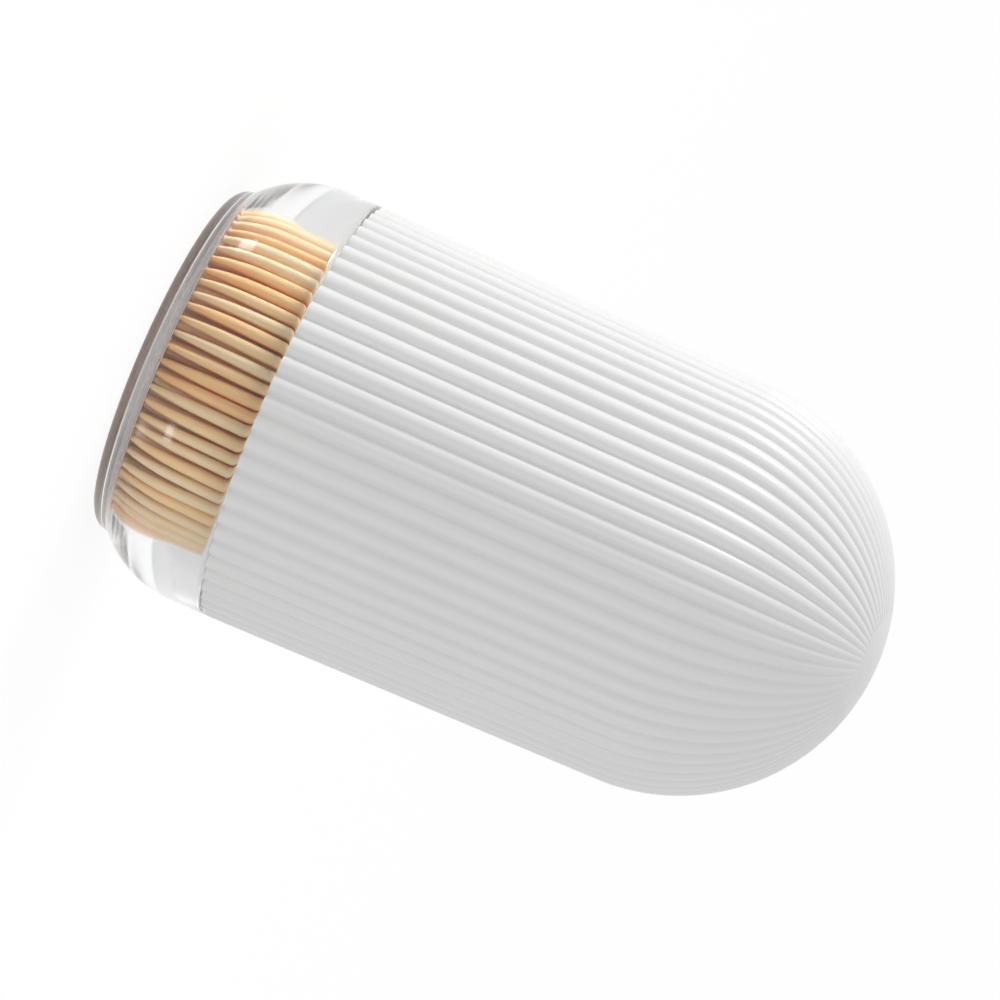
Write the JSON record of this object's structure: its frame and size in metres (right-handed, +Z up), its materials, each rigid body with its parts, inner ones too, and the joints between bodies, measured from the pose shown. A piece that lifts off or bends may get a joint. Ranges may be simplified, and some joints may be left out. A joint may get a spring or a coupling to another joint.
{
  "type": "toothpick holder",
  "caption": "Capsule-shaped toothpick holder: a reeded white dome cover that lifts off a thick-walled clear cup, which stands on a foot ring and is full of upright double-pointed toothpicks.",
  "frame": {"origin": "centre of the foot ring, on the surface that the holder stands on", "axes": "+Z up along the axis of the capsule, from the foot to the dome; the holder is round about Z"},
  "size_m": [0.05, 0.05, 0.0877],
  "materials": {
    "clear_plastic": "clear, polished",
    "white_plastic": "satin",
    "pick_wood": "bare"
  },
  "bodies": {
    "cup": {"cup": "clear_plastic", "toothpicks_ring_1": "pick_wood", "toothpicks_ring_2": "pick_wood", "toothpicks_ring_3": "pick_wood", "toothpicks_ring_4": "pick_wood", "toothpicks_ring_5": "pick_wood", "toothpicks_ring_6": "pick_wood", "toothpicks_ring_7": "pick_wood", "toothpicks_ring_8": "pick_wood", "toothpick_centre": "pick_wood"},
    "cover": {"cover": "white_plastic"}
  },
  "joints": [
    {"name": "cover_lift", "type": "slide", "parent": "cup", "child": "cover", "axis": [0, 0, 1], "range_m": [0, 0.06]}
  ]
}
